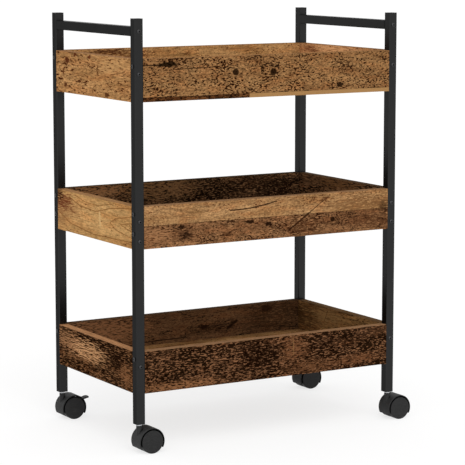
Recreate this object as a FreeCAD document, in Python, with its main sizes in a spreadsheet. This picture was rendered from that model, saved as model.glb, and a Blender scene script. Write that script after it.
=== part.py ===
import FreeCAD, Part
import enum
import math
import operator
import os

import Sketcher

# Kitchen cart: three box trays between four square-tube posts on twin-wheel castors.
# +X runs along the trays' length, +Y from front to back, +Z up from the floor.
# The origin lies on the floor under the middle of the cart's bounding box.

# Driving sizes in millimetres
SIZES = {
    # Frame of square tube
    "frame_width": 527.0,
    "frame_depth": 315.0,
    "post_length": 685.5,
    "tube_size": 16.0,
    "tube_wall": 1.2,
    "tube_corner": 1.5,
    "handle_drop": 12.0,
    # Plastic caps and plugs in the tube ends
    "cap_flange": 1.5,
    "plug_clearance": 0.05,
    "cap_plug_depth": 8.0,
    "foot_plug_depth": 20.0,
    "handle_plug_depth": 26.0,
    # Trays, whose boards are as thick as the tube
    "board_height": 72.5,
    "floor_thickness": 16.0,
    "bottom_tray_rise": 53.0,
    "top_tray_drop": 65.0,
    # Screws through the posts
    "screw_diameter": 4.0,
    "screw_length": 38.0,
    "screw_tip": 1.5,
    "head_diameter": 7.6,
    "head_height": 2.2,
    "head_rim": 0.7,
    "socket_width": 2.5,
    "socket_depth": 1.4,
    "hole_clearance": 0.05,
    "lengthwise_screw_drop": 13.0,
    "crosswise_screw_drop": 26.0,
    "second_screw_step": 33.5,
    # Dowels between the floor panels and the boards
    "dowel_diameter": 6.0,
    "dowel_length": 30.0,
    "dowel_in_board": 10.0,
    "dowel_end_gap": 0.5,
    "long_side_dowel_offset": 150.0,
    "short_side_dowel_offset": 80.0,
    # Castors
    "castor_trail": 17.0,
    "hood_to_post": 6.5,
    "wheel_diameter": 40.0,
    "wheel_width": 14.5,
    "wheel_edge": 0.6,
    "wheel_rim": 3.0,
    "wheel_disc": 3.4,
    "wheel_hub_diameter": 11.0,
    "wheel_side_gap": 0.5,
    "hood_gap": 2.6,
    "hood_wall": 1.4,
    "hood_width": 33.4,
    "hood_edge": 1.2,
    "hood_skirt": 8.9,
    "web_thickness": 6.0,
    "boss_diameter": 10.0,
    "axle_diameter": 5.0,
    "axle_length": 26.0,
    "axle_fit": 0.02,
    "running_clearance": 0.05,
    "collar_height": 2.6,
    "collar_width": 9.0,
    "collar_gap": 0.2,
    "thread_diameter": 8.0,
    "thread_length": 16.0,
    "swivel_pin_diameter": 6.0,
    "swivel_pin_length": 11.5,
    # Brake lever, with angles in degrees above the level through the wheels' axis
    "lever_overhang": 10.8,
    "lever_tip_length": 4.0,
    "lever_ramp": 6.2,
    "lever_height": 16.5,
    "lever_rise": 1.6,
    "lever_thickness": 2.8,
    "lever_width": 12.0,
    "lever_bend": 6.0,
    "lever_corner": 2.5,
    "lever_arm_width": 2.8,
    "lever_clearance": 0.5,
    "lever_eye_diameter": 5.0,
    "lever_pin_diameter": 2.4,
    "lever_pivot_angle": 64.0,
    "lever_pivot_inset": 0.5,
    "brake_gap": 1.9,
    "shoe_low_angle": 27.0,
    "shoe_high_angle": 46.0,
    "shoe_thickness": 0.6,
    "window_margin_angle": 4.0,
}


class Size:
    """A length: its number, and the sheet expression that gives it."""

    def __init__(self, value, text):
        self.value = value
        self.text = text

    def joined(self, other, sign, work, swap=False):
        other = as_size(other)
        first, second = (other, self) if swap else (self, other)
        return Size(work(first.value, second.value), f"({first.text} {sign} {second.text})")

    def __add__(self, other):
        return self.joined(other, "+", operator.add)

    def __radd__(self, other):
        return self.joined(other, "+", operator.add, swap=True)

    def __sub__(self, other):
        return self.joined(other, "-", operator.sub)

    def __rsub__(self, other):
        return self.joined(other, "-", operator.sub, swap=True)

    def __mul__(self, other):
        return self.joined(other, "*", operator.mul)

    def __rmul__(self, other):
        return self.joined(other, "*", operator.mul, swap=True)

    def __truediv__(self, other):
        return self.joined(other, "/", operator.truediv)

    def __neg__(self):
        return self * -1


def as_size(number):
    """A Size stays as it is, and a plain number becomes one."""
    return number if isinstance(number, Size) else Size(float(number), repr(float(number)))


def root(size):
    """The square root of a product of two lengths."""
    return Size(math.sqrt(size.value), f"sqrt({size.text})")


def polar(radius, angle):
    """The point at a radius and at an angle in degrees."""
    angle = as_size(angle)
    along = Size(math.cos(math.radians(angle.value)), f"cos({angle.text})")
    up = Size(math.sin(math.radians(angle.value)), f"sin({angle.text})")
    return radius * along, radius * up


def fill_sheet(document):
    """Write each driving size to a cell with an alias, and return the sizes by name."""
    sheet = document.addObject("Spreadsheet::Sheet", "Sizes")
    sizes = {}
    for row, (name, value) in enumerate(SIZES.items(), start=1):
        sheet.set(f"A{row}", name)
        sheet.set(f"B{row}", str(value))
        sheet.setAlias(f"B{row}", name)
        sizes[name] = Size(value, f"Sizes.{name}")
    document.recompute()
    return sizes


DOC = FreeCAD.newDocument("kitchen_cart")
S = fill_sheet(DOC)

X_AXIS = FreeCAD.Vector(1, 0, 0)
Y_AXIS = FreeCAD.Vector(0, 1, 0)
Z_AXIS = FreeCAD.Vector(0, 0, 1)
# How a sketch counts the points of an edge, and where its own origin stands in that count
EdgePoint = enum.IntEnum("EdgePoint", ["START", "END", "CENTRE"])
ORIGIN_POINT = (-1, EdgePoint.START)

# Sizes that follow from the driving ones
TUBE = S["tube_size"]
BOARD = TUBE
BORE = TUBE - 2 * S["tube_wall"]
WHEEL = S["wheel_diameter"] / 2
WELL = WHEEL + S["hood_gap"]
HOOD = WELL + S["hood_wall"]
SHOE = WHEEL + S["brake_gap"]
LEVER_REACH = HOOD + S["lever_overhang"]
FOOT = WHEEL + HOOD + S["hood_to_post"]
# The brake levers reach past the right-hand posts, and the screw heads past the left-hand ones
MIDDLE_X = -(S["castor_trail"] + LEVER_REACH - TUBE / 2 - S["head_height"]) / 2
LEFT = MIDDLE_X - S["frame_width"] / 2
RIGHT = MIDDLE_X + S["frame_width"] / 2
FRONT = -S["frame_depth"] / 2
BACK = S["frame_depth"] / 2
LONG_BOARD = S["frame_width"] - 2 * TUBE
SHORT_BOARD = S["frame_depth"] - 2 * TUBE
SCREW_HOLE = S["screw_diameter"] / 2 + S["hole_clearance"]
DOWEL_HOLE = S["dowel_diameter"] / 2 + S["hole_clearance"]
DOWEL_IN_FLOOR = S["dowel_length"] - S["dowel_in_board"]
HANDLE_TOP = FOOT + S["post_length"] - S["handle_drop"]
LEVER_PIVOT = polar(WHEEL - S["lever_pivot_inset"], S["lever_pivot_angle"])

POSTS = {
    "front_left": (LEFT, FRONT),
    "front_right": (RIGHT - TUBE, FRONT),
    "back_left": (LEFT, BACK - TUBE),
    "back_right": (RIGHT - TUBE, BACK - TUBE),
}
BRAKED_CASTORS = ("back_left", "back_right")
# The trays from the bottom up, and those with two screws in each end of their boards
TRAYS = ("bottom", "middle", "top")
TWICE_SCREWED_TRAYS = ("middle",)
# The trays share out the posts' height between the lowest and the highest
TRAY_SPAN = S["post_length"] - S["bottom_tray_rise"] - S["top_tray_drop"] - S["board_height"]
TRAY_PITCH = TRAY_SPAN / (len(TRAYS) - 1)

NODES = []


def bind(item, name, size):
    """Tie one property of an object to the sheet."""
    item.setExpression(name, as_size(size).text)


def place(item, x=0, y=0, z=0, turn=None):
    """Set an object's place, tied to the sheet, and its turn."""
    point = [as_size(value) for value in (x, y, z)]
    base = FreeCAD.Vector(*[size.value for size in point])
    item.Placement = FreeCAD.Placement(base, turn or FreeCAD.Rotation())
    for axis, size in zip("xyz", point):
        bind(item, f"Placement.Base.{axis}", size)


def facing(direction):
    """The turn that brings +Z onto a direction."""
    return FreeCAD.Rotation(Z_AXIS, direction)


def node(item, name):
    """Keep an object as a sub-part under the name of its file."""
    item.Label = name
    NODES.append(item)
    return item


def block(length, width, height, x=0, y=0, z=0):
    """A box with its lowest corner at a point."""
    item = DOC.addObject("Part::Box", "block")
    for name, size in zip(("Length", "Width", "Height"), (length, width, height)):
        bind(item, name, size)
    place(item, x, y, z)
    return item


def rod(radius, length, x=0, y=0, z=0, direction=Z_AXIS):
    """A cylinder that starts at a point and runs along a direction."""
    item = DOC.addObject("Part::Cylinder", "rod")
    bind(item, "Radius", radius)
    bind(item, "Height", length)
    place(item, x, y, z, facing(direction))
    return item


def group(items):
    """Several separate solids as one object."""
    item = DOC.addObject("Part::Compound", "group")
    item.Links = items
    return item


def cut(base, tools):
    """An object with others taken away from it."""
    item = DOC.addObject("Part::Cut", "cut")
    item.Base = base
    item.Tool = group(tools)
    return item


def fused(items):
    """Touching solids joined to one."""
    item = DOC.addObject("Part::MultiFuse", "fused")
    item.Shapes = items
    return item


def new_body(name):
    return DOC.addObject("PartDesign::Body", name)


def plane(body, role):
    return next(feature for feature in body.Origin.OriginFeatures if feature.Role == role)


def sketch_on(body, role, offset=0):
    """A sketch on one of the body's own planes, or beside it along the plane's normal."""
    sketch = body.newObject("Sketcher::SketchObject", "sketch")
    sketch.AttachmentSupport = (plane(body, role), [""])
    sketch.MapMode = "FlatFace"
    bind(sketch, "AttachmentOffset.Base.z", offset)
    return sketch


def hold(sketch, kind, *arguments):
    """Add a constraint whose last argument is a size tied to the sheet."""
    size = as_size(arguments[-1])
    index = sketch.addConstraint(Sketcher.Constraint(kind, *arguments[:-1], size.value))
    sketch.setExpression(f"Constraints[{index}]", size.text)


def hold_point(sketch, edge, end, x, y):
    hold(sketch, "DistanceX", *ORIGIN_POINT, edge, end, x)
    hold(sketch, "DistanceY", *ORIGIN_POINT, edge, end, y)


def draw_circle(sketch, radius, x=0, y=0):
    centre = FreeCAD.Vector(as_size(x).value, as_size(y).value, 0)
    edge = sketch.addGeometry(Part.Circle(centre, Z_AXIS, as_size(radius).value))
    hold(sketch, "Radius", edge, radius)
    hold_point(sketch, edge, EdgePoint.CENTRE, x, y)


def draw_outline(sketch, points):
    """A closed outline of straight lines through points."""
    places = [FreeCAD.Vector(as_size(x).value, as_size(y).value, 0) for x, y in points]
    edges = []
    for start, end in zip(places, places[1:] + places[:1]):
        edges.append(sketch.addGeometry(Part.LineSegment(start, end)))
    for edge, following in zip(edges, edges[1:] + edges[:1]):
        joint = Sketcher.Constraint("Coincident", edge, EdgePoint.END, following, EdgePoint.START)
        sketch.addConstraint(joint)
    for edge, (x, y) in zip(edges, points):
        hold_point(sketch, edge, EdgePoint.START, x, y)


def draw_square(sketch, side):
    half = side / 2
    draw_outline(sketch, [(-half, -half), (half, -half), (half, half), (-half, half)])


def pad(body, sketch, length, centred=False):
    feature = body.newObject("PartDesign::Pad", "pad")
    feature.Profile = sketch
    feature.Midplane = centred
    bind(feature, "Length", length)
    DOC.recompute()
    return feature


def pocket(body, sketch, depth, centred=False, outward=False):
    """Cut a sketch into the body, against its plane's normal unless it goes outward."""
    before = body.Shape.Volume
    feature = body.newObject("PartDesign::Pocket", "pocket")
    feature.Profile = sketch
    feature.Midplane = centred
    feature.Reversed = outward
    bind(feature, "Length", depth)
    DOC.recompute()
    if body.Shape.Volume >= before:
        raise RuntimeError(f"{body.Label}: a pocket cut nothing")
    return feature


def mirror(body, feature, role):
    """Repeat a feature on the other side of one of the body's planes."""
    item = body.newObject("PartDesign::Mirrored", "mirrored")
    item.Originals = [feature]
    item.MirrorPlane = (plane(body, role), [""])
    body.Tip = item
    DOC.recompute()
    return item


def revolve(body, sketch):
    """Turn a sketch once round its upright axis."""
    feature = body.newObject("PartDesign::Revolution", "revolution")
    feature.Profile = sketch
    feature.ReferenceAxis = (sketch, ["V_Axis"])
    feature.Angle = 360
    DOC.recompute()
    return feature


def round_edges(body, feature, wanted, radius):
    """Fillet the edges of a feature that a test picks out."""
    names = [f"Edge{i}" for i, edge in enumerate(feature.Shape.Edges, start=1) if wanted(edge)]
    if not names:
        raise RuntimeError(f"{body.Label}: no edge to round")
    fillet = body.newObject("PartDesign::Fillet", "fillet")
    fillet.Base = (feature, names)
    bind(fillet, "Radius", radius)
    DOC.recompute()
    return fillet


def runs_along(edge, direction):
    """Whether an edge is a straight line along a direction."""
    if not isinstance(edge.Curve, Part.Line):
        return False
    return abs(edge.Curve.Direction.dot(direction)) > 0.999


def lies_at(edge, x, z):
    """Whether the middle of an edge lies at a point of the XZ plane."""
    middle = edge.CenterOfMass
    return abs(middle.x - x.value) < 0.01 and abs(middle.z - z.value) < 0.01


def tray_base(number):
    """The height of the lower edge of a tray, counted from the bottom one."""
    return FOOT + S["bottom_tray_rise"] + number * TRAY_PITCH


def screw_heights(number, drop):
    """The heights of the screws in one end of a tray's board."""
    first = tray_base(number) + S["board_height"] - drop
    if TRAYS[number] in TWICE_SCREWED_TRAYS:
        return [first, first - S["second_screw_step"]]
    return [first]


def square_tube(name, length):
    """A square tube that stands on its lower end, with its axis on +Z."""
    body = new_body(name)
    outside = sketch_on(body, "XY_Plane")
    draw_square(outside, TUBE)
    tube = pad(body, outside, length)
    round_edges(body, tube, lambda edge: runs_along(edge, Z_AXIS), S["tube_corner"])
    inside = sketch_on(body, "XY_Plane")
    draw_square(inside, BORE)
    pocket(body, inside, length, outward=True)
    return body


def make_post(corner):
    """A post with the holes for the tray screws and the handle screw."""
    x, y = POSTS[corner]
    post = square_tube(f"{corner}_post", S["post_length"])
    lengthwise = sketch_on(post, "YZ_Plane")
    crosswise = sketch_on(post, "XZ_Plane")
    for number in range(len(TRAYS)):
        for height in screw_heights(number, S["lengthwise_screw_drop"]):
            draw_circle(lengthwise, SCREW_HOLE, 0, height - FOOT)
        for height in screw_heights(number, S["crosswise_screw_drop"]):
            draw_circle(crosswise, SCREW_HOLE, 0, height - FOOT)
    draw_circle(crosswise, SCREW_HOLE, 0, HANDLE_TOP - TUBE / 2 - FOOT)
    pocket(post, lengthwise, 2 * TUBE, centred=True)
    pocket(post, crosswise, 2 * TUBE, centred=True)
    place(post, x + TUBE / 2, y + TUBE / 2, FOOT)
    node(post, f"{corner}_post")


def tube_plug(depth):
    """A square plug that slides into a tube, with its lower face at the tube's end."""
    side = BORE - 2 * S["plug_clearance"]
    return block(side, side, depth, -side / 2, -side / 2)


def copies(master, places):
    """Linked copies of one solid, each at a point and turned to a direction."""
    links = []
    for x, y, z, direction in places:
        link = DOC.addObject("App::Link", "copy")
        link.LinkedObject = master
        place(link, x, y, z, facing(direction))
        links.append(link)
    return group(links)


def make_tube_ends():
    """The caps on the posts, the stem plugs in their feet and the plugs in the handle rails."""
    centres = [(x + TUBE / 2, y + TUBE / 2) for x, y in POSTS.values()]
    post_top = FOOT + S["post_length"]

    flange = new_body("cap_flange")
    outline = sketch_on(flange, "XY_Plane")
    draw_square(outline, TUBE)
    plate = pad(flange, outline, S["cap_flange"])
    round_edges(flange, plate, lambda edge: runs_along(edge, Z_AXIS), S["tube_corner"])
    shank = tube_plug(S["cap_plug_depth"])
    bind(shank, "Placement.Base.z", -S["cap_plug_depth"])
    cap = fused([flange, shank])
    node(copies(cap, [(x, y, post_top, Z_AXIS) for x, y in centres]), "post_caps")

    thread = rod(S["thread_diameter"] / 2 + S["hole_clearance"], S["foot_plug_depth"])
    foot = cut(tube_plug(S["foot_plug_depth"]), [thread])
    node(copies(foot, [(x, y, FOOT, Z_AXIS) for x, y in centres]), "post_foot_plugs")

    seat = cut(tube_plug(S["handle_plug_depth"]), [rod(SCREW_HOLE, S["handle_plug_depth"])])
    height = HANDLE_TOP - TUBE / 2
    places = []
    for x in (LEFT + TUBE / 2, RIGHT - TUBE / 2):
        places.append((x, FRONT + TUBE, height, Y_AXIS))
        places.append((x, BACK - TUBE, height, -Y_AXIS))
    node(copies(seat, places), "handle_end_plugs")


def make_handles():
    for side, x in (("left", LEFT), ("right", RIGHT - TUBE)):
        rail = square_tube(f"{side}_handle_rail", SHORT_BOARD)
        place(rail, x + TUBE / 2, FRONT + TUBE, HANDLE_TOP - TUBE / 2, facing(Y_AXIS))
        node(rail, f"{side}_handle_rail")


def make_screw():
    """One screw along +Z: its head lies below the origin, its shank above."""
    body = new_body("screw")
    shank = S["screw_diameter"] / 2
    head = S["head_diameter"] / 2
    crown = head - (S["head_height"] - S["head_rim"])
    outline = [
        (0, -S["head_height"]),
        (crown, -S["head_height"]),
        (head, -S["head_rim"]),
        (head, 0),
        (shank, 0),
        (shank, S["screw_length"] - S["screw_tip"]),
        (shank - S["screw_tip"], S["screw_length"]),
        (0, S["screw_length"]),
    ]
    profile = sketch_on(body, "XZ_Plane")
    draw_outline(profile, outline)
    revolve(body, profile)
    socket = sketch_on(body, "XY_Plane", -S["head_height"])
    flat = S["socket_width"] / 2
    corner = flat / math.cos(math.radians(30))
    draw_outline(socket, [
        (corner, 0),
        (corner / 2, flat),
        (-corner / 2, flat),
        (-corner, 0),
        (-corner / 2, -flat),
        (corner / 2, -flat),
    ])
    pocket(body, socket, S["socket_depth"], outward=True)
    return body


def make_screws(screw):
    for number, name in enumerate(TRAYS):
        places = []
        for y in (FRONT + TUBE / 2, BACK - TUBE / 2):
            for z in screw_heights(number, S["lengthwise_screw_drop"]):
                places.append((LEFT, y, z, X_AXIS))
                places.append((RIGHT, y, z, -X_AXIS))
        for x in (LEFT + TUBE / 2, RIGHT - TUBE / 2):
            for z in screw_heights(number, S["crosswise_screw_drop"]):
                places.append((x, FRONT, z, Y_AXIS))
                places.append((x, BACK, z, -Y_AXIS))
        node(copies(screw, places), f"{name}_tray_screws")
    places = []
    for x in (LEFT + TUBE / 2, RIGHT - TUBE / 2):
        places.append((x, FRONT, HANDLE_TOP - TUBE / 2, Y_AXIS))
        places.append((x, BACK, HANDLE_TOP - TUBE / 2, -Y_AXIS))
    node(copies(screw, places), "handle_screws")


def long_dowel_places():
    """Where the dowels along a long board lie, measured from its left end."""
    middle = LONG_BOARD / 2
    return [middle - S["long_side_dowel_offset"], middle, middle + S["long_side_dowel_offset"]]


def short_dowel_places():
    """Where the dowels along a short board lie, measured from its front end."""
    middle = SHORT_BOARD / 2
    return [middle - S["short_side_dowel_offset"], middle + S["short_side_dowel_offset"]]


def make_long_board(name, number, y, inward):
    """A front or back board, with screw holes in its ends and dowel holes in its inner face."""
    base = tray_base(number)
    hole = S["screw_length"] - TUBE + S["dowel_end_gap"]
    drills = []
    for height in screw_heights(number, S["lengthwise_screw_drop"]):
        drills.append(rod(SCREW_HOLE, hole, 0, BOARD / 2, height - base, X_AXIS))
        drills.append(rod(SCREW_HOLE, hole, LONG_BOARD, BOARD / 2, height - base, -X_AXIS))
    inner_face = BOARD if inward else 0
    outward = -Y_AXIS if inward else Y_AXIS
    for x in long_dowel_places():
        depth = S["dowel_in_board"] + S["dowel_end_gap"]
        drills.append(rod(DOWEL_HOLE, depth, x, inner_face, S["floor_thickness"] / 2, outward))
    board = cut(block(LONG_BOARD, BOARD, S["board_height"]), drills)
    place(board, LEFT + TUBE, y, base)
    node(board, name)


def make_short_board(name, number, x, inward):
    """A left or right board, with screw holes in its ends and dowel holes in its inner face."""
    base = tray_base(number)
    hole = S["screw_length"] - TUBE + S["dowel_end_gap"]
    drills = []
    for height in screw_heights(number, S["crosswise_screw_drop"]):
        drills.append(rod(SCREW_HOLE, hole, BOARD / 2, 0, height - base, Y_AXIS))
        drills.append(rod(SCREW_HOLE, hole, BOARD / 2, SHORT_BOARD, height - base, -Y_AXIS))
    inner_face = BOARD if inward else 0
    outward = -X_AXIS if inward else X_AXIS
    for y in short_dowel_places():
        depth = S["dowel_in_board"] + S["dowel_end_gap"]
        drills.append(rod(DOWEL_HOLE, depth, inner_face, y, S["floor_thickness"] / 2, outward))
    board = cut(block(BOARD, SHORT_BOARD, S["board_height"]), drills)
    place(board, x, FRONT + TUBE, base)
    node(board, name)


def make_floor(name, number):
    """A tray's floor panel between its boards, with dowel holes in all four edges."""
    depth = DOWEL_IN_FLOOR + S["dowel_end_gap"]
    middle = S["floor_thickness"] / 2
    drills = []
    for x in long_dowel_places():
        drills.append(rod(DOWEL_HOLE, depth, x, 0, middle, Y_AXIS))
        drills.append(rod(DOWEL_HOLE, depth, x, SHORT_BOARD, middle, -Y_AXIS))
    for y in short_dowel_places():
        drills.append(rod(DOWEL_HOLE, depth, 0, y, middle, X_AXIS))
        drills.append(rod(DOWEL_HOLE, depth, LONG_BOARD, y, middle, -X_AXIS))
    panel = cut(block(LONG_BOARD, SHORT_BOARD, S["floor_thickness"]), drills)
    place(panel, LEFT + TUBE, FRONT + TUBE, tray_base(number))
    node(panel, name)


def make_dowels(name, number):
    """The dowels that join a tray's floor panel to its boards."""
    radius = S["dowel_diameter"] / 2
    length = S["dowel_length"]
    z = tray_base(number) + S["floor_thickness"] / 2
    start = TUBE - S["dowel_in_board"]
    dowels = []
    for offset in long_dowel_places():
        x = LEFT + TUBE + offset
        dowels.append(rod(radius, length, x, FRONT + start, z, Y_AXIS))
        dowels.append(rod(radius, length, x, BACK - start, z, -Y_AXIS))
    for offset in short_dowel_places():
        y = FRONT + TUBE + offset
        dowels.append(rod(radius, length, LEFT + start, y, z, X_AXIS))
        dowels.append(rod(radius, length, RIGHT - start, y, z, -X_AXIS))
    node(group(dowels), name)


def make_trays():
    for number, name in enumerate(TRAYS):
        tray = f"{name}_tray"
        make_long_board(f"{tray}_front_board", number, FRONT, True)
        make_long_board(f"{tray}_back_board", number, BACK - BOARD, False)
        make_short_board(f"{tray}_left_board", number, LEFT, True)
        make_short_board(f"{tray}_right_board", number, RIGHT - BOARD, False)
        make_floor(f"{tray}_floor", number)
        make_dowels(f"{tray}_dowels", number)


def make_stem(name, x, y):
    """The steel stem: a threaded top, a hexagon collar, and a pin that the hood swivels on."""
    collar = DOC.addObject("Part::Prism", "collar")
    collar.Polygon = 6
    bind(collar, "Circumradius", S["collar_width"] / 2 / math.cos(math.radians(30)))
    bind(collar, "Height", S["collar_height"])
    thread = rod(S["thread_diameter"] / 2, S["thread_length"], 0, 0, S["collar_height"])
    pin = rod(S["swivel_pin_diameter"] / 2, S["swivel_pin_length"], 0, 0, -S["swivel_pin_length"])
    stem = fused([collar, thread, pin])
    place(stem, x, y, FOOT - S["collar_height"])
    node(stem, name)


def make_hood(name, x, y, braked):
    """The moulded hood: a half barrel over both wheels, with a middle web and a swivel boss."""
    hood = new_body(name)
    skirt = S["hood_skirt"] - WHEEL
    reach = root(HOOD * HOOD - skirt * skirt)
    barrel = sketch_on(hood, "XZ_Plane")
    circle = Part.Circle(FreeCAD.Vector(), Z_AXIS, HOOD.value)
    start = math.atan2(skirt.value, reach.value)
    arc = barrel.addGeometry(Part.ArcOfCircle(circle, start, math.pi - start))
    left = FreeCAD.Vector(-reach.value, skirt.value, 0)
    right = FreeCAD.Vector(reach.value, skirt.value, 0)
    line = barrel.addGeometry(Part.LineSegment(left, right))
    barrel.addConstraint(Sketcher.Constraint("Coincident", arc, EdgePoint.CENTRE, *ORIGIN_POINT))
    barrel.addConstraint(Sketcher.Constraint("Coincident", arc, EdgePoint.END, line, EdgePoint.START))
    barrel.addConstraint(Sketcher.Constraint("Coincident", arc, EdgePoint.START, line, EdgePoint.END))
    barrel.addConstraint(Sketcher.Constraint("Horizontal", line))
    hold(barrel, "Radius", arc, HOOD)
    hold(barrel, "DistanceY", *ORIGIN_POINT, line, EdgePoint.START, skirt)
    shell = pad(hood, barrel, S["hood_width"], centred=True)

    round_edges(hood, shell, lambda edge: isinstance(edge.Curve, Part.Circle), S["hood_edge"])

    boss_top = FOOT - S["collar_height"] - S["collar_gap"] - WHEEL
    foot = sketch_on(hood, "XY_Plane")
    draw_circle(foot, S["boss_diameter"] / 2, -S["castor_trail"])
    pad(hood, foot, boss_top)

    well = sketch_on(hood, "XZ_Plane", S["web_thickness"] / 2)
    draw_circle(well, WELL)
    mirror(hood, pocket(hood, well, S["hood_width"], outward=True), "XZ_Plane")

    axle = sketch_on(hood, "XZ_Plane")
    draw_circle(axle, S["axle_diameter"] / 2 + S["axle_fit"])
    pocket(hood, axle, S["hood_width"], centred=True)

    bore = sketch_on(hood, "XY_Plane", boss_top)
    draw_circle(bore, S["swivel_pin_diameter"] / 2 + S["running_clearance"], -S["castor_trail"])
    pocket(hood, bore, S["swivel_pin_length"] + S["collar_gap"])

    if braked:
        cut_lever_openings(hood)
    place(hood, x + S["castor_trail"], y, WHEEL)
    node(hood, name)


def cut_lever_openings(hood):
    """The window in a braked hood, the slot in its web and the hole for the lever's pin."""
    space = S["lever_clearance"]
    low = S["shoe_low_angle"] - S["window_margin_angle"]
    high = S["shoe_high_angle"] + S["window_margin_angle"]
    inside = WHEEL - space
    outside = HOOD + S["hood_wall"]
    window = sketch_on(hood, "XZ_Plane")
    draw_outline(window, [
        polar(inside, low),
        polar(outside, low),
        (outside, outside),
        polar(outside, high),
        polar(inside, high),
    ])
    pocket(hood, window, S["lever_width"] + 2 * space, centred=True)

    x, z = LEVER_PIVOT
    eye = S["lever_eye_diameter"] / 2 + space
    slot_width = S["lever_arm_width"] + 2 * space
    eye_slot = sketch_on(hood, "XZ_Plane")
    draw_circle(eye_slot, eye, x, z)
    pocket(hood, eye_slot, slot_width, centred=True)
    arm_slot = sketch_on(hood, "XZ_Plane")
    draw_outline(arm_slot, [
        (x, z - eye),
        (x + 2 * eye, z - eye - 2 * space),
        polar(WELL, high),
        polar(WELL, S["lever_pivot_angle"]),
    ])
    pocket(hood, arm_slot, slot_width, centred=True)

    pin = sketch_on(hood, "XZ_Plane")
    draw_circle(pin, S["lever_pin_diameter"] / 2 + S["axle_fit"], x, z)
    pocket(hood, pin, S["web_thickness"], centred=True)


def make_wheel(name, x, y, side):
    """A hollow wheel with a closed outer disc, on the axle's front or back end."""
    wheel = new_body(name)
    bore = S["axle_diameter"] / 2 + S["running_clearance"]
    hub = S["wheel_hub_diameter"] / 2
    rim = WHEEL - S["wheel_rim"]
    width = S["wheel_width"]
    hollow = width - S["wheel_disc"]
    inner = S["web_thickness"] / 2 + S["wheel_side_gap"]
    bore_depth = S["axle_length"] / 2 - inner + S["wheel_side_gap"]
    profile = sketch_on(wheel, "XZ_Plane")
    draw_outline(profile, [
        (bore, 0),
        (hub, 0),
        (hub, hollow),
        (rim, hollow),
        (rim, 0),
        (WHEEL, 0),
        (WHEEL, width),
        (0, width),
        (0, bore_depth),
        (bore, bore_depth),
    ])
    turned = revolve(wheel, profile)

    def is_tread_edge(edge):
        return isinstance(edge.Curve, Part.Circle) and abs(edge.Curve.Radius - WHEEL.value) < 0.01

    round_edges(wheel, turned, is_tread_edge, S["wheel_edge"])
    place(wheel, x + S["castor_trail"], y + side * inner, WHEEL, facing(side * Y_AXIS))
    node(wheel, name)


def make_lever(name, x, y):
    """The brake lever: a cranked paddle with a shoe over both treads, and an arm with an eye for its pin."""
    lever = new_body(name)
    top = S["lever_height"]
    under = top - S["lever_thickness"]
    bend = LEVER_REACH - S["lever_tip_length"]
    root_x = bend - S["lever_ramp"]
    low, high = S["shoe_low_angle"], S["shoe_high_angle"]
    paddle = sketch_on(lever, "XZ_Plane")
    draw_outline(paddle, [
        polar(HOOD, high),
        polar(HOOD, (low + high) / 2),
        (root_x, top - S["lever_rise"]),
        (bend, top),
        (LEVER_REACH, top),
        (LEVER_REACH, under),
        (bend, under),
        (root_x, under - S["lever_rise"]),
        polar(SHOE + S["shoe_thickness"], low),
        polar(WHEEL, low),
        polar(WHEEL, high),
    ])
    plate = pad(lever, paddle, S["lever_width"], centred=True)
    bends = [(root_x, top - S["lever_rise"]), (bend, top), (bend, under)]
    cranked = round_edges(
        lever,
        plate,
        lambda edge: runs_along(edge, Y_AXIS) and any(lies_at(edge, *point) for point in bends),
        S["lever_bend"],
    )
    round_edges(
        lever,
        cranked,
        lambda edge: runs_along(edge, Z_AXIS) and lies_at(edge, LEVER_REACH, (top + under) / 2),
        S["lever_corner"],
    )
    tread = sketch_on(lever, "XZ_Plane")
    draw_circle(tread, SHOE)
    pocket(lever, tread, 2 * S["lever_width"], centred=True)

    pivot_x, pivot_z = LEVER_PIVOT
    eye = S["lever_eye_diameter"] / 2
    round_end = sketch_on(lever, "XZ_Plane")
    draw_circle(round_end, eye, pivot_x, pivot_z)
    arm = sketch_on(lever, "XZ_Plane")
    draw_outline(arm, [
        (pivot_x, pivot_z - eye),
        polar(SHOE + S["shoe_thickness"], high - S["window_margin_angle"]),
        polar(SHOE, high),
        (pivot_x, pivot_z + eye),
    ])
    pad(lever, arm, S["lever_arm_width"], centred=True)
    pad(lever, round_end, S["lever_arm_width"], centred=True)
    hole = sketch_on(lever, "XZ_Plane")
    draw_circle(hole, S["lever_pin_diameter"] / 2 + S["running_clearance"], pivot_x, pivot_z)
    pocket(lever, hole, 2 * S["lever_arm_width"], centred=True)
    place(lever, x + S["castor_trail"], y, WHEEL)
    node(lever, name)


def make_lever_pin(name, x, y):
    """The pin in the hood's web that the brake lever turns on."""
    pivot_x, pivot_z = LEVER_PIVOT
    length = S["web_thickness"]
    pin = rod(S["lever_pin_diameter"] / 2, length, x + S["castor_trail"] + pivot_x, y - length / 2,
              WHEEL + pivot_z, Y_AXIS)
    node(pin, name)


def make_castors():
    for corner, (post_x, post_y) in POSTS.items():
        x = post_x + TUBE / 2
        y = post_y + TUBE / 2
        castor = f"{corner}_castor"
        braked = corner in BRAKED_CASTORS
        make_stem(f"{castor}_stem", x, y)
        make_hood(f"{castor}_hood", x, y, braked)
        axle = rod(S["axle_diameter"] / 2, S["axle_length"], x + S["castor_trail"],
                   y - S["axle_length"] / 2, WHEEL, Y_AXIS)
        node(axle, f"{castor}_axle")
        make_wheel(f"{castor}_front_wheel", x, y, -1)
        make_wheel(f"{castor}_back_wheel", x, y, 1)
        if braked:
            make_lever(f"{castor}_brake_lever", x, y)
            make_lever_pin(f"{castor}_lever_pin", x, y)


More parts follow.
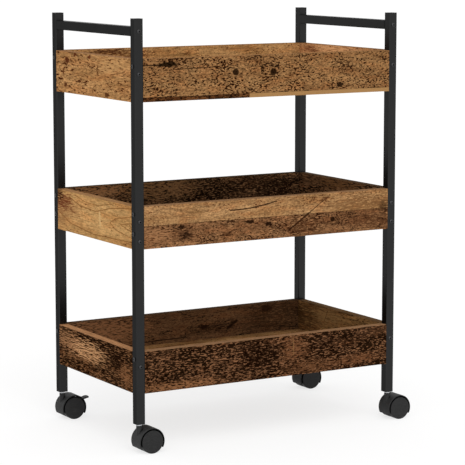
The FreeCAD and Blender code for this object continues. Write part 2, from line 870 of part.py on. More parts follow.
def write_parts():
    """Check every object, then write each sub-part to its own file."""
    DOC.recompute()
    for item in DOC.Objects:
        if "Invalid" in item.State or "Error" in item.State:
            raise RuntimeError(f"{item.Label} failed: {item.State}")
    for item in NODES:
        if item.Shape.isNull() or not item.Shape.isValid():
            raise RuntimeError(f"{item.Label} has no valid shape")
    os.makedirs("parts", exist_ok=True)
    for item in NODES:
        item.Shape.exportStep(f"parts/{item.Label}.step")


for corner_name in POSTS:
    make_post(corner_name)
make_tube_ends()
make_handles()
make_screws(make_screw())
make_trays()
make_castors()
write_parts()
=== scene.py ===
import math

import bpy
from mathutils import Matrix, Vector


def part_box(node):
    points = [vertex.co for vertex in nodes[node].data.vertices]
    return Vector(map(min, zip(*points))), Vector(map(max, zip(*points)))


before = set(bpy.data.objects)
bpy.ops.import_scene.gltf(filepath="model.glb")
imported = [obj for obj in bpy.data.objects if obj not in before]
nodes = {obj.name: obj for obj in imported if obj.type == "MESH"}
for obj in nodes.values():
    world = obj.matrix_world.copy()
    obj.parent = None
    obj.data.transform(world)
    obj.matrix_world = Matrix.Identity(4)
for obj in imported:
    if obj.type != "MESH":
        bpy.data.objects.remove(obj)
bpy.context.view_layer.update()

TRAYS = ("bottom", "middle", "top")
SIDES = ("front", "left", "back", "right")

# Sizes on the boards and floor panels, in mm
MM_IN_METRE = 1000
BOARD_HEIGHT = 72.5
BOARD_MIDDLE = 8.0
RING_WIDTH = 7.0
FLOOR_PLANKS = 3

# How many times longer the grain of the left and right boards is, as the photo shows it
SIDE_GRAIN = 2.0

# How strongly each pattern shows on the timber
RING_SHADE = 0.62
PORE_SHADE = 0.36
FIBRE_SHADE = 0.7
DUST_SHADE = 0.7
DUST_WITH_MOTTLE = 2.4
RED_COVER = 0.6
RED_TINT = (1.02, 0.84, 0.74)
MOTTLE_COVER = 0.62
WEAR_COVER = 0.94
CHIP_COVER = 0.54
CHIP_BRIGHTNESS = 1.2
MARK_COVER = 0.92
GLOW_COVER = 0.8
SEAM_COVER = 0.7
EDGE_COVER = 0.8

# How deep each pattern lies in the timber, as a share of its relief
FLECK_DEPTH = 0.55
WEAR_DEPTH = 0.35
PORE_DEPTH = 0.30
FIBRE_RISE = 0.4

# Relief, broken edges and the reach of the painted crevice shade, in metres
WOOD_RELIEF = 0.00018
MOULDED_RELIEF = 0.00004
FINE_RELIEF = 0.00002
BOARD_EDGE = 0.0006
PLUG_EDGE = 0.0004
CREVICE_SHADE_REACH = 0.005

# The studio
FLOOR_REACH = 80.0
FLOOR_GLOW = 0.73
FLOOR_SHADE_SEEN = 0.6
WORLD_LIGHT = 0.75


def tone(red, green, blue):
    """A colour in screen values from 0 to 255, as the linear colour that shaders take."""
    def linear(value):
        share = value / 255
        return share / 12.92 if share <= 0.04045 else ((share + 0.055) / 1.055) ** 2.4

    return (linear(red), linear(green), linear(blue), 1.0)


def grey(level):
    """A grey of one linear level."""
    return (level, level, level, 1.0)


class Nodes:
    """Short ways to add shader nodes to one tree."""

    def __init__(self, tree):
        self.tree = tree

    def add(self, kind, inputs=None, **settings):
        made = self.tree.nodes.new(kind if kind.startswith("Node") else "ShaderNode" + kind)
        for name, value in settings.items():
            setattr(made, name, value)
        for name, value in (inputs or {}).items():
            self.feed(made.inputs[name], value)
        return made

    def feed(self, socket, value):
        if isinstance(value, bpy.types.NodeSocket):
            self.tree.links.new(value, socket)
        else:
            socket.default_value = value

    def math(self, operation, first, second=0.0):
        return self.add("Math", {0: first, 1: second}, operation=operation).outputs[0]

    def plus(self, first, second):
        return self.math("ADD", first, second)

    def minus(self, first, second):
        return self.math("SUBTRACT", first, second)

    def times(self, first, second):
        return self.math("MULTIPLY", first, second)

    def vector(self, operation, first, second):
        return self.add("VectorMath", {0: first, 1: second}, operation=operation)

    def moved(self, place, way):
        return self.vector("ADD", place, way).outputs["Vector"]

    def offset(self, place, origin):
        return self.vector("SUBTRACT", place, origin).outputs["Vector"]

    def scaled(self, place, factors):
        return self.vector("MULTIPLY", place, factors).outputs["Vector"]

    def joined(self, x=0.0, y=0.0, z=0.0):
        return self.add("CombineXYZ", {0: x, 1: y, 2: z}).outputs[0]

    def parted(self, place):
        return self.add("SeparateXYZ", {0: place}).outputs

    def shaded(self, colour, shade):
        """A colour or a vector times a plain number."""
        return self.scaled(colour, self.joined(shade, shade, shade))

    def object_place(self):
        return self.add("TexCoord").outputs["Object"]

    def noise(self, place, grain, detail=3.0, roughness=0.55, output="Fac"):
        """Noise whose lumps measure about grain along the three directions."""
        stretched = self.scaled(place, [1 / size for size in grain])
        settings = {"Vector": stretched, "Scale": 1.0, "Detail": detail, "Roughness": roughness}
        return self.add("TexNoise", settings).outputs[output]

    def swing(self, place, grain, **settings):
        """Noise that swings about 0."""
        return self.minus(self.noise(place, grain, **settings), 0.5)

    def shake(self, place, grain, **settings):
        """Noise in three directions that swings about 0."""
        return self.offset(self.noise(place, grain, output="Color", **settings), (0.5, 0.5, 0.5))

    def ramp(self, value, start, end):
        """0 at start, 1 at end and smooth between them."""
        inputs = {"Value": value, "From Min": start, "From Max": end}
        return self.add("MapRange", inputs, interpolation_type="SMOOTHSTEP").outputs["Result"]

    def mix(self, share, first, second):
        return self.add("Mix", {0: share, 6: first, 7: second}, data_type="RGBA").outputs[2]


def new_group(name, inputs, outputs):
    """A node group's Nodes, its inputs by name and its outputs by name."""
    tree = bpy.data.node_groups.new(name, "ShaderNodeTree")
    for label, kind in inputs:
        tree.interface.new_socket(name=label, in_out="INPUT", socket_type="NodeSocket" + kind)
    for label, kind in outputs:
        tree.interface.new_socket(name=label, in_out="OUTPUT", socket_type="NodeSocket" + kind)
    made = Nodes(tree)
    given = made.add("NodeGroupInput").outputs
    return made, given, made.add("NodeGroupOutput").inputs


def make_plank_group():
    """Weathered timber with its grain along the first direction, and its height. Sizes are in mm.

    It has a broad tone, year rings, pores, fibres, mottling, dark wear, pale chips and dark flecks.
    """
    inputs = [("Place", "Vector"), ("Seed", "Float"),
              ("Light", "Color"), ("Mid", "Color"), ("Dark", "Color"),
              ("Rings", "Float"), ("Pores", "Float"), ("Mottle", "Float"),
              ("Flecks", "Float"), ("Wear", "Float")]
    n, given, result = new_group("weathered_plank", inputs, [("Colour", "Color"), ("Height", "Float")])
    seed = given["Seed"]
    drift = n.joined(n.times(seed, 137.0), n.times(seed, 61.0), n.times(seed, 29.0))
    place = n.moved(given["Place"], drift)

    # Year rings that bow and ripple
    bow = n.times(n.noise(place, (230, 50, 60), detail=1), 80.0)
    ripple = n.times(n.noise(place, (30, 9, 12), detail=2), 4.0)
    level = n.plus(n.parted(place)[1], n.plus(bow, ripple))
    year = n.math("FRACT", n.math("DIVIDE", level, RING_WIDTH))
    strength = n.ramp(n.noise(place, (80, 16, 20), detail=2), 0.25, 0.6)
    rings = n.times(n.times(n.ramp(year, 0.25, 0.9), n.ramp(year, 1.0, 0.93)), strength)

    # Places that follow the bow, and places with a frayed outline
    swayed = n.moved(place, n.joined(y=n.times(bow, 0.4)))
    fray = n.scaled(n.shake(place, (2.6, 0.9, 1.8)), (4.0, 1.3, 1.0))
    frayed = n.moved(place, fray)
    combed = n.moved(swayed, fray)

    # The other patterns
    broad = n.noise(place, (110, 24, 30), detail=3)
    fibres = n.swing(combed, (9, 0.5, 1.1), detail=2)
    pores = n.ramp(n.noise(swayed, (24, 1.8, 4), detail=2, roughness=0.6), 0.48, 0.62)
    red = n.ramp(n.noise(place, (34, 12, 16), detail=2), 0.45, 0.68)
    mottle = n.ramp(n.noise(frayed, (8, 3.8, 9), detail=2, roughness=0.65), 0.52, 0.61)
    chips = n.ramp(n.noise(frayed, (6, 1.7, 3), detail=1), 0.55, 0.61)
    crowd = n.swing(place, (48, 26, 40), detail=2)
    specks = n.noise(frayed, (4.6, 2.6, 7), detail=2, roughness=0.6)
    specks = n.plus(specks, n.times(crowd, 0.35))
    need = n.minus(0.68, n.times(given["Flecks"], 0.12))
    flecks = n.ramp(specks, need, n.plus(need, 0.02))
    patches = n.noise(swayed, (64, 20, 25), detail=3, roughness=0.55)
    grit = n.swing(combed, (9, 2.2, 6), detail=2, roughness=0.65)
    dust = n.swing(place, (4.2, 2.5, 5), detail=1)
    worn = n.plus(patches, n.plus(grit, n.times(dust, 0.62)))
    cover = n.minus(0.73, n.times(given["Wear"], 0.32))
    wear = n.ramp(worn, cover, n.plus(cover, 0.10))

    # The colour of sound timber
    colour = n.mix(n.ramp(broad, 0.36, 0.64), given["Mid"], given["Light"])
    ring_shade = n.minus(1.0, n.times(n.times(rings, given["Rings"]), RING_SHADE))
    pore_shade = n.minus(1.0, n.times(n.times(pores, given["Pores"]), PORE_SHADE))
    coarse = n.plus(DUST_SHADE, n.times(given["Mottle"], DUST_WITH_MOTTLE))
    dust_shade = n.plus(1.0, n.times(dust, coarse))
    fibre_shade = n.plus(1.0, n.times(fibres, FIBRE_SHADE))
    fine_shade = n.times(dust_shade, fibre_shade)
    colour = n.shaded(colour, n.times(n.times(ring_shade, pore_shade), fine_shade))
    colour = n.mix(n.times(red, RED_COVER), colour, n.scaled(colour, RED_TINT))

    # What lies over it
    colour = n.mix(n.times(mottle, n.times(given["Mottle"], MOTTLE_COVER)), colour, given["Dark"])
    colour = n.mix(n.times(wear, WEAR_COVER), colour, given["Dark"])
    chips = n.times(chips, n.times(given["Wear"], CHIP_COVER))
    colour = n.mix(chips, colour, n.shaded(given["Light"], CHIP_BRIGHTNESS))
    colour = n.mix(flecks, colour, given["Dark"])
    n.feed(result["Colour"], colour)

    dips = n.plus(n.times(flecks, FLECK_DEPTH), n.times(wear, WEAR_DEPTH))
    dips = n.plus(dips, n.times(pores, PORE_DEPTH))
    dips = n.minus(dips, n.times(fibres, FIBRE_RISE))
    n.feed(result["Height"], n.minus(1.0, dips))
    return n.tree


def make_line_group():
    """Distance from a place to a straight line between two places."""
    inputs = [("Place", "Vector"), ("From", "Vector"), ("To", "Vector")]
    n, given, result = new_group("distance_to_line", inputs, [("Distance", "Float")])
    along = n.offset(given["To"], given["From"])
    away = n.offset(given["Place"], given["From"])
    length = n.vector("DOT_PRODUCT", along, along).outputs["Value"]
    share = n.math("DIVIDE", n.vector("DOT_PRODUCT", away, along).outputs["Value"], length)
    share = n.math("MINIMUM", n.math("MAXIMUM", share, 0.0), 1.0)
    nearest = n.shaded(along, share)
    n.feed(result["Distance"], n.vector("DISTANCE", away, nearest).outputs["Value"])
    return n.tree


PLANK = make_plank_group()
LINE = make_line_group()


def new_look(name, **sockets):
    """A material with its principled shader's plain values set, its Nodes and the shader's inputs."""
    material = bpy.data.materials.new(name)
    material.use_nodes = True
    shader = material.node_tree.nodes["Principled BSDF"]
    for socket, value in sockets.items():
        label = socket.replace("_", " ").title().replace("Ior", "IOR")
        shader.inputs[label].default_value = value
    return material, Nodes(material.node_tree), shader.inputs


def rough_bump(n, inputs, height, distance):
    bump = n.add("Bump", {"Strength": 1.0, "Distance": distance, "Height": height})
    n.feed(inputs["Normal"], bump.outputs["Normal"])


def finish_wood(n, inputs, colour, height, relief):
    """Feeds a timber's colour and bump, and makes it rougher where it is worn low."""
    n.feed(inputs["Base Color"], colour)
    n.feed(inputs["Roughness"], n.minus(0.9, n.times(height, 0.3)))
    rough_bump(n, inputs, relief, WOOD_RELIEF)


def board_place(n, origin, turn, order):
    """A place on a board in mm: along it, up it and through it from the shown face."""
    place = n.offset(n.object_place(), origin)
    parts = n.parted(n.scaled(place, [MM_IN_METRE * way for way in turn]))
    return n.joined(*[parts[axis] for axis in order])


def look(seed, light, mid, dark, rings, pores, mottle, flecks, wear):
    """The settings of one plank: its three tones, and how strongly its patterns show."""
    return {"Seed": seed, "Light": tone(*light), "Mid": tone(*mid), "Dark": tone(*dark),
            "Rings": rings, "Pores": pores, "Mottle": mottle, "Flecks": flecks, "Wear": wear}


def plank(n, place, settings):
    """A plank's colour and height."""
    made = n.add("Group", node_tree=PLANK)
    n.feed(made.inputs["Place"], place)
    for name, value in settings.items():
        made.inputs[name].default_value = value
    return made.outputs["Colour"], made.outputs["Height"]


INK = (26, 12, 5)
GRAIN = (142, 96, 52)

# The decor of each board: the tone of its upper edge, its planks from the top down and its marks.
# A seam is given in mm from the lower edge, and a mark along the board and down from the upper edge.
# A spot has a radius, a patch, glow or knot half a length and half a height, a line points and half
# a width, and a strip its start, its end and its upper edge. Each mark ends with its colour.
DECOR = {
    ("top", "front"): {
        "edge": (163, 120, 79),
        "planks": [look(1.0, (166, 124, 80), (148, 106, 66), (38, 14, 4), 0.1, 0.4, 0.6, 1.05, 0.15),
                   look(2.0, (122, 80, 46), (86, 50, 26), (26, 12, 6), 0.5, 0.7, 0.7, 0.7, 0.8)],
        "seam": 7.0,
        "marks": [("spot", 178.6, 27.8, 6.3, INK), ("spot", 253.5, 30.2, 6.6, INK),
                  ("patch", 262, 20, 5, 4, INK), ("patch", 231, 24, 2.5, 9, INK),
                  ("line", [(0, 11.6), (34, 11.4)], 1.1, INK), ("patch", 47, 10.8, 20, 4.4, (14, 7, 3)),
                  ("line", [(63, 20), (140, 17)], 0.9, INK), ("patch", 391, 56.6, 8, 4, INK),
                  ("strip", 206, 500, 65.4, (176, 134, 86))]},
    ("top", "left"): {
        "edge": (175, 130, 94),
        "planks": [look(3.0, (206, 155, 101), (190, 140, 88), (80, 38, 14), 0.3, 0.4, 0.42, 0.72, 0.1)],
        "marks": [("glow", 210, 14, 50, 14, (214, 164, 107)), ("patch", 43, 15, 8, 6, (84, 36, 18)),
                  ("patch", 162, 26, 2.5, 11, (104, 62, 30)), ("patch", 76, 4, 6, 3.5, (96, 44, 22)),
                  ("patch", 131, 5, 7, 3, (104, 50, 26)), ("patch", 30, 35, 3, 8, (100, 50, 24)),
                  ("patch", 37, 58, 7, 4, (92, 48, 24)), ("patch", 197, 66, 9, 4, (90, 50, 24)),
                  ("line", [(212, 31), (262, 24)], 0.7, (104, 64, 34))]},
    ("top", "back"): {
        "edge": (150, 108, 68),
        "planks": [look(4.0, (194, 150, 98), (172, 129, 80), (92, 54, 26), 0.5, 0.6, 0.35, 0.4, 0.0)],
        "marks": [("knot", 92, 6, 40, 5, (74, 40, 20)), ("glow", 128, 11, 44, 6, (92, 54, 28))]},
    ("top", "right"): {
        "edge": (150, 108, 70),
        "planks": [look(5.0, (220, 166, 115), (206, 152, 102), (96, 52, 24), 0.45, 0.5, 0.38, 0.5, 0.1)],
        "marks": [("glow", 125, 6, 60, 8, (246, 188, 132)), ("glow", 40, 11, 22, 5, (120, 66, 40))]},
    ("middle", "front"): {
        "edge": (159, 121, 88),
        "planks": [look(6.0, (184, 141, 95), (166, 123, 79), (80, 44, 20), 0.35, 0.7, 0.4, 0.4, 0.05),
                   look(7.0, (158, 114, 76), (128, 88, 57), (36, 14, 5), 0.3, 0.7, 0.75, 0.75, 0.36)],
        "seam": 38.4,
        "marks": [("line", [(168, 17.8), (207, 16.3), (245, 10.6), (261, 7.6)], 1.3, INK),
                  ("line", [(365, 7.7), (327, 33)], 0.9, INK), ("line", [(327, 33), (288, 59)], 1.8, INK),
                  ("patch", 362, 8.5, 6, 3.5, (96, 60, 34)), ("patch", 207, 39.5, 9, 3.6, INK),
                  ("patch", 244, 46.6, 6, 3.2, INK), ("spot", 377, 46.6, 4.6, INK),
                  ("patch", 70, 39, 5, 4, INK), ("knot", 80, 55, 11, 6, INK),
                  ("knot", 486, 32, 10, 12, INK), ("glow", 318, 56, 40, 18, (62, 32, 14)),
                  ("glow", 462, 54, 48, 16, (88, 55, 33)), ("glow", 24, 50, 30, 14, (170, 122, 82)),
                  ("glow", 438, 22, 56, 13, (124, 86, 52))]},
    ("middle", "left"): {
        "edge": (178, 134, 94),
        "planks": [look(8.0, (220, 172, 112), (200, 152, 95), (104, 60, 30), 0.22, 0.6, 0.2, 0.12, 0.0)],
        "marks": [("glow", 14, 42, 30, 20, (158, 110, 70)), ("glow", 48, 30, 40, 14, (176, 126, 80)),
                  ("knot", 20, 20, 36, 14, (112, 54, 32)), ("knot", 4, 8, 16, 13, (58, 28, 14)),
                  ("line", [(46, 9), (90, 21), (150, 24), (210, 12), (284, 4)], 0.9, GRAIN),
                  ("line", [(70, 4), (110, 12), (160, 13), (220, 3)], 0.7, GRAIN),
                  ("line", [(284, 18), (225, 28), (204, 37), (225, 47), (284, 55)], 0.8, GRAIN),
                  ("line", [(284, 29), (243, 36), (284, 44)], 0.7, GRAIN),
                  ("line", [(0, 38), (50, 56), (140, 65), (284, 62)], 0.9, GRAIN),
                  ("line", [(165, 25), (167, 46)], 3.2, (232, 190, 130))]},
    ("middle", "back"): {
        "edge": (79, 62, 46),
        "planks": [look(9.0, (140, 106, 74), (80, 57, 38), (12, 5, 2), 0.4, 0.5, 0.6, 0.55, 1.05)],
        "marks": [("glow", 70, 7, 60, 12, (150, 106, 68)), ("glow", 196, 12, 62, 18, (132, 98, 64)),
                  ("glow", 430, 20, 80, 26, (34, 18, 9))]},
    ("middle", "right"): {
        "edge": (92, 73, 55),
        "planks": [look(10.0, (142, 106, 74), (90, 64, 42), (20, 10, 4), 0.4, 0.5, 0.5, 0.4, 1.1)],
        "marks": [("glow", 150, 8, 70, 12, (126, 90, 56)),
                  ("line", [(82, 10), (88, 22), (80, 34)], 0.8, INK)]},
    ("bottom", "front"): {
        "edge": (171, 130, 94),
        "planks": [look(11.0, (142, 99, 68), (104, 69, 44), (14, 5, 1), 0.4, 0.6, 0.6, 0.5, 1.28)],
        "marks": [("glow", 300, 26, 26, 18, (120, 78, 50)), ("glow", 432, 58, 46, 9, (118, 76, 48)),
                  ("glow", 336, 60, 56, 11, (108, 71, 45)), ("glow", 70, 66, 80, 8, (150, 102, 66)),
                  ("glow", 222, 28, 36, 32, (24, 10, 4)), ("glow", 404, 22, 60, 12, (24, 10, 4)),
                  ("glow", 472, 10, 30, 9, (60, 38, 22)),
                  ("line", [(296, 6), (297, 36)], 0.8, (132, 96, 60)),
                  ("line", [(397, 40), (397, 72)], 1.0, INK)]},
    ("bottom", "left"): {
        "edge": (210, 154, 108),
        "planks": [look(12.0, (160, 113, 76), (108, 70, 42), (18, 7, 2), 0.4, 0.6, 0.7, 0.5, 1.18)],
        "marks": [("glow", 46, 24, 52, 16, (180, 130, 90)), ("glow", 116, 30, 56, 15, (228, 172, 121)),
                  ("glow", 234, 26, 28, 16, (30, 14, 6)), ("glow", 258, 50, 20, 20, (146, 98, 64))]},
    ("bottom", "back"): {
        "edge": (88, 66, 48),
        "planks": [look(13.0, (112, 80, 53), (94, 66, 44), (20, 10, 5), 0.4, 0.5, 0.4, 0.4, 0.42)],
        "marks": [("patch", 284, 33, 11, 5, INK), ("line", [(337, 40), (356, 28)], 3.4, INK),
                  ("patch", 423, 10, 13, 7, (34, 15, 9)), ("line", [(159, 50), (245, 49)], 1.3, INK),
                  ("glow", 75, 20, 80, 30, (150, 104, 70)), ("glow", 300, 38, 50, 8, (34, 18, 9)),
                  ("glow", 440, 22, 60, 30, (56, 36, 20))]},
    ("bottom", "right"): {
        "edge": (102, 79, 57),
        "planks": [look(14.0, (168, 128, 80), (130, 96, 58), (58, 36, 16), 0.7, 0.6, 0.4, 0.3, 0.3)],
        "marks": [("glow", 24, 22, 50, 34, (70, 46, 24)), ("glow", 100, 18, 40, 14, (150, 116, 74)),
                  ("line", [(104, 6), (92, 28)], 0.8, (64, 44, 22))]},
}
FIRST_FLOOR_SEED = 21.0
FLOOR_TONES = ((182, 140, 92), (150, 108, 66), (70, 40, 20))


def round_mask(n, place, shaky, mark):
    """Covers a spot or patch with a firm outline, or a glow or knot with a streaky one."""
    kind, along, down, *sizes, colour = mark
    half_length = sizes[0]
    half_height = sizes[-1]
    centre = n.offset(shaky, (along, BOARD_HEIGHT - down, 0))
    shape = n.scaled(centre, (1 / half_length, 1 / half_height, 0))
    reach = n.vector("LENGTH", shape, (0, 0, 0)).outputs["Value"]
    if kind in ("spot", "patch"):
        return n.ramp(reach, 1.15, 0.75)
    grit = n.swing(place, (10, 2.4, 6), detail=2, roughness=0.65)
    streaks = n.ramp(n.noise(place, (10, 2.3, 5), detail=2), 0.43, 0.51)
    if kind == "knot":
        streaks = n.plus(0.6, n.times(streaks, 0.4))
    return n.times(n.ramp(n.plus(reach, n.times(grit, 4.0)), 1.3, 0.7), streaks)


def line_mask(n, shaky, mark):
    """Covers the straight lines between a mark's points."""
    kind, points, half_width, colour = mark
    flat = n.scaled(shaky, (1, 1, 0))
    distances = []
    for ends in zip(points, points[1:]):
        made = n.add("Group", node_tree=LINE)
        n.feed(made.inputs["Place"], flat)
        for label, (along, down) in zip(("From", "To"), ends):
            made.inputs[label].default_value = (along, BOARD_HEIGHT - down, 0)
        distances.append(made.outputs["Distance"])
    nearest = distances[0]
    for distance in distances[1:]:
        nearest = n.math("MINIMUM", nearest, distance)
    return n.ramp(nearest, 1.4 * half_width, 0.3 * half_width)


def strip_mask(n, place, mark):
    """Covers a strip at the lower edge of a board."""
    kind, start, end, down, colour = mark
    parts = n.parted(place)
    level = BOARD_HEIGHT - down
    inside = n.times(n.ramp(parts[0], start - 1, start + 1), n.ramp(parts[0], end, end - 2))
    return n.times(inside, n.ramp(parts[1], level + 0.5, level - 0.5))


def mark_mask(n, place, shaky, steady, mark):
    """Where a mark covers a board."""
    kind = mark[0]
    if kind == "strip":
        return strip_mask(n, place, mark)
    if kind == "line":
        return line_mask(n, steady, mark)
    return round_mask(n, place, steady if kind == "spot" else shaky, mark)


def board_material(tray, side):
    """One or two planks with a seam, marks on the shown half of the board, and a barer upper edge."""
    name = f"{tray}_tray_{side}_board"
    low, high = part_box(name)
    material, n, inputs = new_look(name + "_decor", specular_ior_level=0.0)
    if side in ("front", "back"):
        place = board_place(n, low, (1, 1, 1), (0, 2, 1))
        timber = place
    else:
        place = board_place(n, (low.x, high.y, low.z), (1, -1, 1), (1, 2, 0))
        timber = n.scaled(place, (1 / SIDE_GRAIN, 1, 1))
    parts = n.parted(place)
    decor = DECOR[tray, side]

    upper, *lower = decor["planks"]
    colour, height = plank(n, timber, upper)
    if lower:
        under = plank(n, timber, lower[0])[0]
        waver = n.times(n.swing(place, (60, 60, 60)), 3.0)
        level = n.minus(n.plus(parts[1], waver), decor["seam"])
        colour = n.mix(n.ramp(level, -0.4, 0.4), under, colour)
        seam = n.ramp(n.math("ABSOLUTE", level), 0.9, 0.1)
        colour = n.mix(n.times(seam, SEAM_COVER), colour, tone(*INK))

    wobble = n.shake(place, (6, 4, 6), detail=4, roughness=0.7)
    shaky = n.moved(place, n.scaled(wobble, (22, 12, 0)))
    steady = n.moved(place, n.scaled(wobble, (4, 3, 0)))
    shown = n.ramp(parts[2], BOARD_MIDDLE + 0.5, BOARD_MIDDLE - 0.5)
    for mark in decor["marks"]:
        mask = n.times(mark_mask(n, timber, shaky, steady, mark), shown)
        cover = GLOW_COVER if mark[0] == "glow" else MARK_COVER
        colour = n.mix(n.times(mask, cover), colour, tone(*mark[-1]))

    top_edge = n.ramp(parts[1], BOARD_HEIGHT - 0.45, BOARD_HEIGHT - 0.2)
    grain = n.ramp(n.noise(place, (30, 4, 1.6)), 0.38, 0.64)
    grain_tone = [0.8 * part for part in decor["edge"]]
    bare = n.mix(grain, tone(*decor["edge"]), tone(*grain_tone))
    colour = n.mix(n.times(top_edge, EDGE_COVER), colour, bare)
    finish_wood(n, inputs, colour, height, height)
    return material


def floor_material(tray, seed):
    """Planks side by side, each of its own shade, with dark seams between them."""
    name = f"{tray}_tray_floor"
    low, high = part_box(name)
    material, n, inputs = new_look(name + "_decor", specular_ior_level=0.0)
    place = board_place(n, low, (1, 1, 1), (0, 1, 2))
    plank_width = MM_IN_METRE * (high.y - low.y) / FLOOR_PLANKS
    share = n.math("DIVIDE", n.parted(place)[1], plank_width)
    row = n.math("FLOOR", share)
    timber = n.moved(place, n.joined(x=n.times(row, 417.0)))
    colour, height = plank(n, timber, look(seed, *FLOOR_TONES, 0.6, 0.6, 0.4, 0.4, 0.2))
    chance = n.add("TexWhiteNoise", {"W": row}, noise_dimensions="1D").outputs[0]
    shade = n.plus(0.82, n.times(chance, 0.3))
    across = n.math("ABSOLUTE", n.minus(n.math("FRACT", share), 0.5))
    seam = n.ramp(across, 0.492, 0.498)
    colour = n.mix(seam, n.shaded(colour, shade), tone(*INK))
    finish_wood(n, inputs, colour, height, n.minus(height, seam))
    return material


def coat_material():
    """Satin black powder coat with a fine orange peel, which mirrors the trays a little."""
    material, n, inputs = new_look("powder_coat", metallic=1.0, specular_tint=grey(0.45))
    place = n.object_place()
    peel = n.noise(place, (0.0011, 0.0011, 0.0011), detail=2)
    cloud = n.noise(place, (0.05, 0.05, 0.09), detail=4)
    n.feed(inputs["Base Color"], n.mix(cloud, grey(0.027), grey(0.034)))
    n.feed(inputs["Roughness"], n.plus(0.22, n.times(cloud, 0.12)))
    rough_bump(n, inputs, peel, FINE_RELIEF)
    return material


def painted_crevice_shade(n, colour, reach, black, unshaded_at):
    """Painted shade: a colour that darkens where other surfaces stand closer than reach, as if shadow fell
    there.
    """
    # Ambient occlusion makes the painted shade: closed-in places get a darker colour
    open_sky = n.add("AmbientOcclusion", {"Distance": reach}, samples=8).outputs["AO"]
    return n.shaded(colour, n.ramp(open_sky, black, unshaded_at))


def plastic_material(name, dark, light, roughness, grain):
    """Moulded plastic with a spark-eroded texture, handling marks and painted shade in its crevices and
    gaps.
    """
    material, n, inputs = new_look(name, specular_ior_level=0.1)
    place = n.object_place()
    texture = n.noise(place, (grain, grain, grain), detail=2)
    scuffs = n.ramp(n.noise(place, (0.012, 0.012, 0.004), detail=5, roughness=0.65), 0.45, 0.75)
    colour = n.shaded(n.mix(scuffs, grey(dark), grey(light)), n.plus(0.5, texture))
    # Painted shade in crevices and gaps, such as round each wheel inside its hood
    n.feed(inputs["Base Color"], painted_crevice_shade(n, colour, CREVICE_SHADE_REACH, 0.35, 0.8))
    n.feed(inputs["Roughness"], n.plus(roughness, n.times(scuffs, 0.15)))
    rough_bump(n, inputs, texture, MOULDED_RELIEF)
    return material


def steel_material(name, dark, light, roughness, shade_reach):
    """Plated steel with a faint drawn grain round it, and painted shade where surfaces stand close."""
    material, n, inputs = new_look(name, metallic=1.0)
    place = n.object_place()
    drawn = n.noise(place, (0.004, 0.004, 0.0004), detail=4, roughness=0.7)
    # Painted shade where surfaces stand close, such as inside a screw's socket
    n.feed(inputs["Base Color"], painted_crevice_shade(n, n.mix(drawn, dark, light), shade_reach, 0.5, 0.9))
    n.feed(inputs["Roughness"], n.plus(roughness, n.times(drawn, 0.2)))
    rough_bump(n, inputs, drawn, FINE_RELIEF)
    return material


def dowel_material():
    """Turned beech with a fine even grain."""
    material, n, inputs = new_look("dowel_beech", specular_ior_level=0.3)
    grain = n.noise(n.object_place(), (0.0009, 0.0009, 0.0009), detail=4)
    n.feed(inputs["Base Color"], n.mix(grain, tone(202, 164, 118), tone(222, 188, 146)))
    n.feed(inputs["Roughness"], n.plus(0.5, n.times(grain, 0.2)))
    rough_bump(n, inputs, grain, MOULDED_RELIEF)
    return material


def round_edges(name, width):
    """Breaks a node's sharp edges, as a finished piece has them."""
    weld = nodes[name].modifiers.new("join", "WELD")
    weld.merge_threshold = 0.000005
    bevel = nodes[name].modifiers.new("edges", "BEVEL")
    bevel.width = width
    bevel.segments = 2
    bevel.limit_method = "ANGLE"
    bevel.angle_limit = math.radians(32)
    bevel.harden_normals = True


def dress(name, material):
    for slot in nodes[name].material_slots:
        slot.material = material


def dress_all():
    """Gives every node its material by the end of its name, and the boards and floors one each."""
    looks = {
        ("_post", "_rail"): coat_material(),
        ("_caps", "_plugs"): plastic_material("plug_plastic", 0.018, 0.026, 0.45, 0.0009),
        ("_hood",): plastic_material("castor_hood_plastic", 0.030, 0.040, 0.5, 0.0012),
        ("_wheel",): plastic_material("castor_wheel_plastic", 0.027, 0.037, 0.45, 0.0014),
        ("_lever",): plastic_material("castor_lever_plastic", 0.010, 0.015, 0.45, 0.0010),
        # Each steel's last value is the reach of its painted crevice shade
        ("_stem", "_axle", "_pin"): steel_material(
            "zinc_steel", (0.46, 0.47, 0.49, 1), (0.66, 0.67, 0.68, 1), roughness=0.28, shade_reach=0.0004),
        ("_screws",): steel_material(
            "black_screw", (0.042, 0.042, 0.043, 1), (0.064, 0.064, 0.066, 1), roughness=0.34, shade_reach=0.003),
        ("_dowels",): dowel_material(),
    }
    for name in nodes:
        for endings, material in looks.items():
            if name.endswith(endings):
                dress(name, material)
        if name.endswith(("_caps", "_plugs")):
            round_edges(name, PLUG_EDGE)
    for count, tray in enumerate(TRAYS):
        dress(f"{tray}_tray_floor", floor_material(tray, FIRST_FLOOR_SEED + count))
        for side in SIDES:
            name = f"{tray}_tray_{side}_board"
            dress(name, board_material(tray, side))
            round_edges(name, BOARD_EDGE)


def looked_at(n):
    """1 for rays that show a background, straight or in metal and glass, and 0 for those that light."""
    rays = n.add("LightPath").outputs
    seen = n.plus(rays["Is Camera Ray"], rays["Is Glossy Ray"])
    return n.math("MINIMUM", n.plus(seen, rays["Is Transmission Ray"]), 1.0)


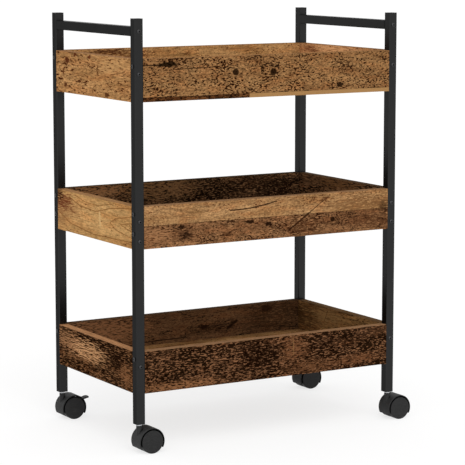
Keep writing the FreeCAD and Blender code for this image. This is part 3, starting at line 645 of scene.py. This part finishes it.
def make_floor():
    """A wide floor, grey to the light. What looks at it sees it white, with a softened shadow."""
    mesh = bpy.data.meshes.new("studio_floor")
    corners = [(-FLOOR_REACH, -FLOOR_REACH, 0), (FLOOR_REACH, -FLOOR_REACH, 0),
               (FLOOR_REACH, FLOOR_REACH, 0), (-FLOOR_REACH, FLOOR_REACH, 0)]
    mesh.from_pydata(corners, [], [(0, 1, 2, 3)])
    floor = bpy.data.objects.new("studio_floor", mesh)
    bpy.context.scene.collection.objects.link(floor)
    material, n, inputs = new_look("studio_floor", specular_ior_level=0.0, roughness=0.9,
                                   emission_color=(1, 1, 1, 1))
    speckle = n.noise(n.object_place(), (0.4, 0.4, 0.4), detail=3)
    straight = looked_at(n)
    colour = n.mix(speckle, grey(0.49), grey(0.51))
    n.feed(inputs["Base Color"], n.mix(straight, colour, n.shaded(colour, FLOOR_SHADE_SEEN)))
    n.feed(inputs["Emission Strength"], n.times(straight, FLOOR_GLOW))
    mesh.materials.append(material)


def make_sun(name, direction, strength, spread):
    data = bpy.data.lights.new(name, "SUN")
    data.energy = strength
    data.angle = math.radians(spread)
    light = bpy.data.objects.new(name, data)
    light.rotation_mode = "QUATERNION"
    light.rotation_quaternion = Vector(direction).to_track_quat("-Z", "Y")
    bpy.context.scene.collection.objects.link(light)


def make_stage():
    """The floor, a white world that lights a little less than it shows, and one soft sun."""
    make_floor()
    world = bpy.data.worlds.new("studio")
    world.use_nodes = True
    n = Nodes(world.node_tree)
    background = world.node_tree.nodes["Background"].inputs
    background["Color"].default_value = (1, 1, 1, 1)
    n.feed(background["Strength"], n.plus(WORLD_LIGHT, n.times(looked_at(n), 1.0 - WORLD_LIGHT)))
    scene = bpy.context.scene
    scene.world = world
    scene.view_settings.view_transform = "Standard"
    make_sun("key", direction=(0.25, 0.75, -0.6), strength=1.47, spread=60)


def make_camera():
    """The photo's viewpoint, tilted down at the cart where the photo's picture is shifted down."""
    data = bpy.data.cameras.new("camera")
    data.sensor_width = 36.0
    data.lens = 163.42
    data.clip_end = 200.0
    camera = bpy.data.objects.new("camera", data)
    yaw = math.radians(30.436)
    pitch = math.radians(8.114)
    level = math.cos(pitch)
    forward = Vector((math.sin(yaw) * level, math.cos(yaw) * level, -math.sin(pitch)))
    camera.location = (-1.9178, -3.2574, 0.880)
    camera.rotation_mode = "QUATERNION"
    camera.rotation_quaternion = forward.to_track_quat("-Z", "Y")
    bpy.context.scene.collection.objects.link(camera)
    bpy.context.scene.camera = camera


dress_all()
make_stage()
make_camera()
